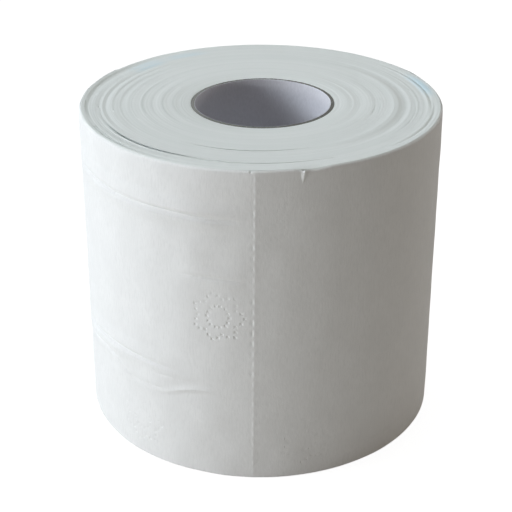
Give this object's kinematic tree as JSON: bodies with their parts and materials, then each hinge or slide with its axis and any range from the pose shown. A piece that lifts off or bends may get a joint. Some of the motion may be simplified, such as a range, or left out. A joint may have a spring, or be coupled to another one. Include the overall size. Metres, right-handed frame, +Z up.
{
  "type": "toilet paper roll",
  "caption": "White perforated tissue web wound on a grey card core, standing on its end; the core slides onto a holder's spindle.",
  "frame": {"origin": "middle of the end that the roll stands on, on the core's axis", "axes": "+Z up along the core's axis; -Y towards the line of perforation that faces the front; +X to the right of it"},
  "size_m": [0.1098, 0.1095, 0.1],
  "materials": {
    "tissue": "soft creped white tissue",
    "core_card": "matt grey recycled card"
  },
  "bodies": {
    "root": {"paper_winding": "tissue", "core_tube": "core_card"}
  },
  "joints": []
}
